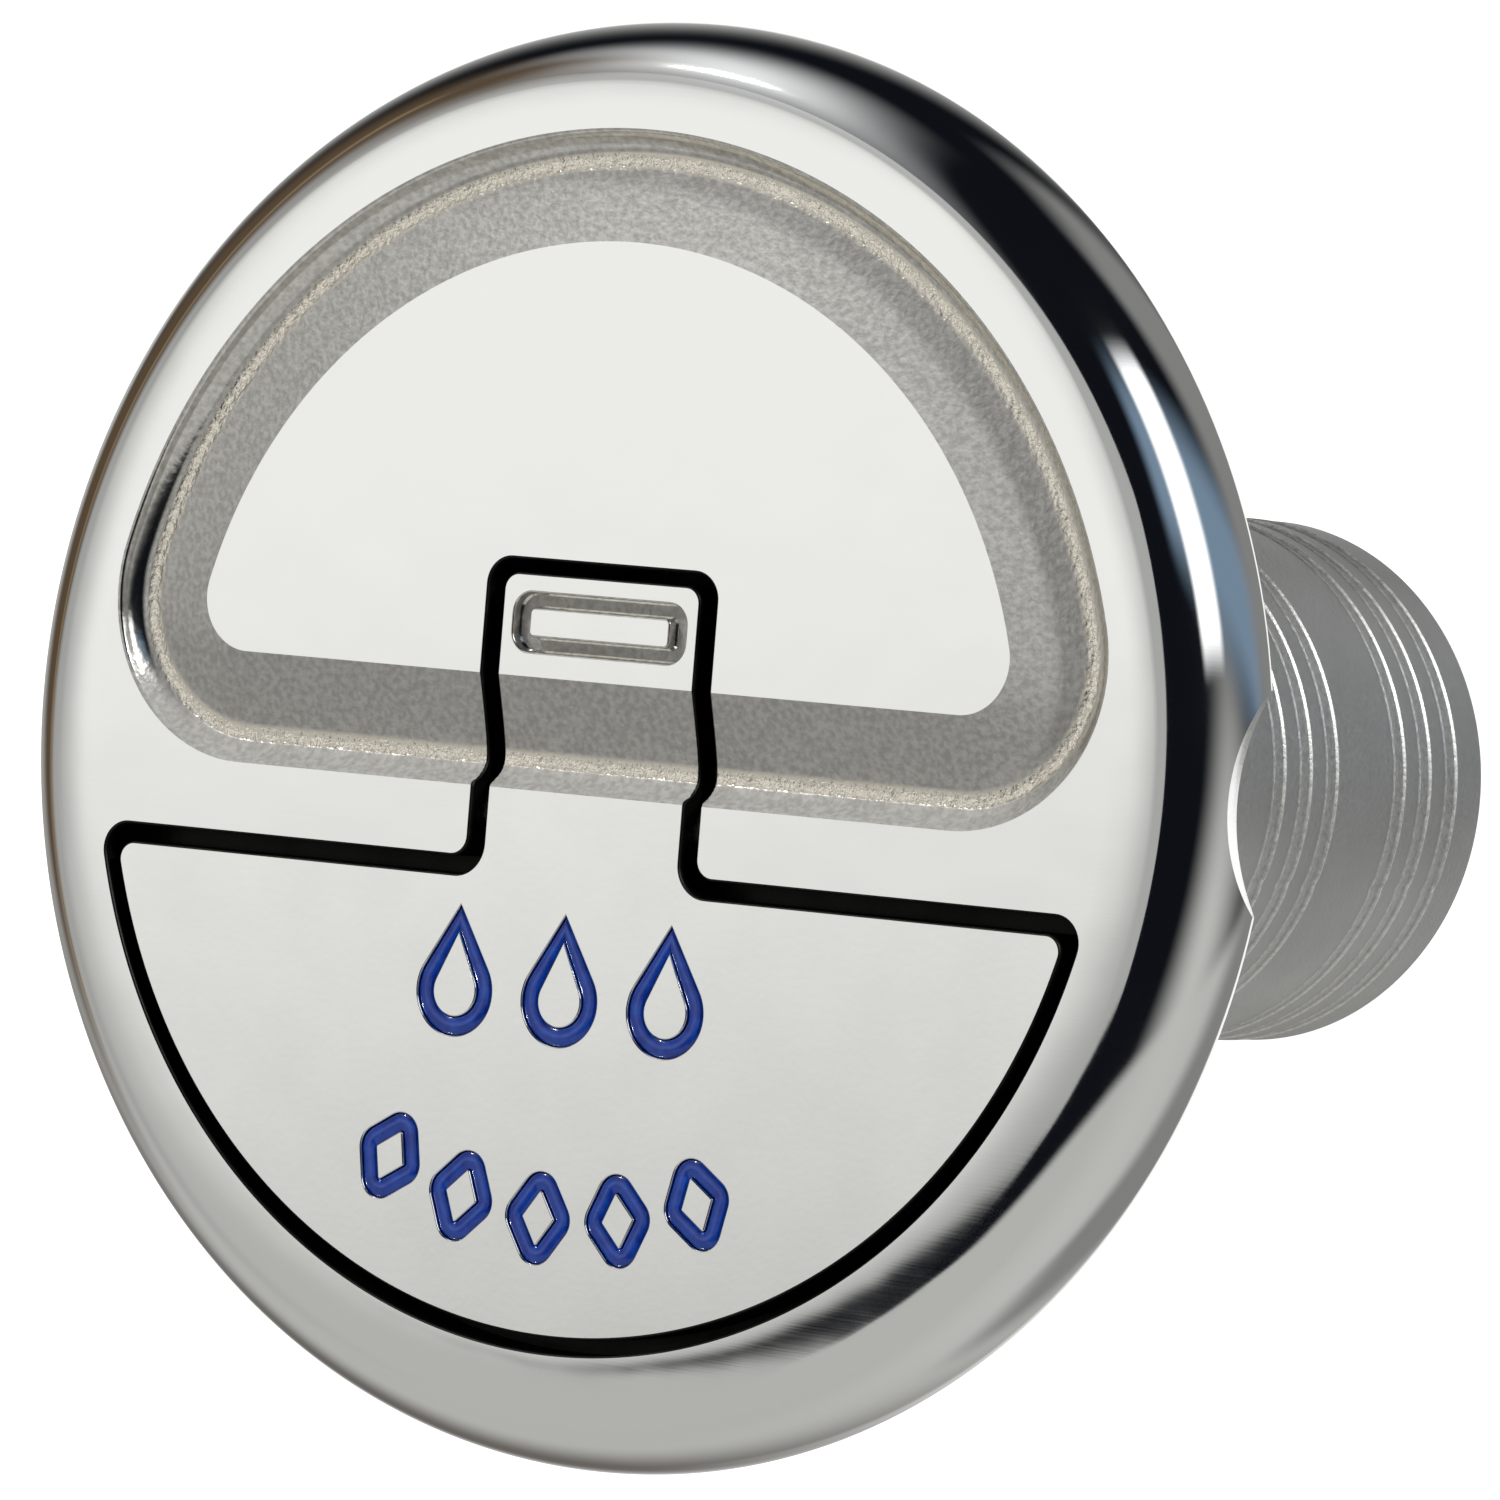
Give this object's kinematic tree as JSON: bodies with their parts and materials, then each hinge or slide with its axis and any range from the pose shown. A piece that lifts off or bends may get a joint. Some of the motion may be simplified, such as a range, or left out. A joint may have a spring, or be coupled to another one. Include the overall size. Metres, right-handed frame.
{
  "type": "deck fill cap",
  "caption": "Flush round deck fill with a hose neck: a screwed cap with a flip-up half-moon handle, pushed up by a tongue.",
  "frame": {"origin": "on the neck's axis, in the plane of the deck (underside of the deck gasket)", "axes": "+Z out of the deck, towards the cap's face; +Y from the half-moon handle to the D-shaped groove; +X along the handle's hinge"},
  "size_m": [0.0974, 0.098, 0.0866],
  "materials": {
    "polished_steel": "mirror-polished stainless steel",
    "satin_steel": "satin-polished stainless steel",
    "blasted_steel": "bead-blasted cast stainless steel",
    "plain_steel": "plain machined stainless steel",
    "spring_steel": "rolled spring steel",
    "rubber": "moulded black rubber",
    "blue_enamel": "glossy blue enamel fill"
  },
  "bodies": {
    "deck": {"deck_flange": "blasted_steel", "deck_gasket": "rubber", "seat_gasket": "rubber", "flange_screw_1": "plain_steel", "flange_screw_2": "plain_steel", "flange_screw_3": "plain_steel", "flange_screw_4": "plain_steel", "flange_screw_5": "plain_steel", "flange_screw_6": "plain_steel"},
    "seal": {"cap_o_ring": "rubber"},
    "cap": {"cap_cover": "polished_steel", "closing_disc": "plain_steel", "disc_seal": "rubber", "circlip": "spring_steel", "hinge_pin": "plain_steel", "spring_keeper": "spring_steel", "keeper_screw_1": "plain_steel", "keeper_screw_2": "plain_steel", "keeper_screw_3": "plain_steel", "keeper_screw_4": "plain_steel", "handle_bumper_1": "rubber", "handle_bumper_2": "rubber"},
    "handle": {"handle": "satin_steel", "enamel_drop_1": "blue_enamel", "enamel_drop_2": "blue_enamel", "enamel_drop_3": "blue_enamel", "enamel_lozenge_1": "blue_enamel", "enamel_lozenge_2": "blue_enamel", "enamel_lozenge_3": "blue_enamel", "enamel_lozenge_4": "blue_enamel", "enamel_lozenge_5": "blue_enamel"}
  },
  "joints": [
    {"name": "cap_rise", "type": "slide", "parent": "deck", "child": "seal", "axis": [0, 0, 1], "range_m": [0, 0.032]},
    {"name": "cap_turn", "type": "hinge", "parent": "seal", "child": "cap", "pos_m": [0, 0, 0], "axis": [0, 0, 1], "range_deg": [0, 1440]},
    {"name": "handle_flip", "type": "hinge", "parent": "cap", "child": "handle", "pos_m": [0, -0.005, 0.008], "axis": [-1, 0, 0], "range_deg": [0, 90]}
  ],
  "couplings": [
    {"joint": "cap_rise", "follows": "cap_turn", "m_per_rad": 0.0012732}
  ]
}
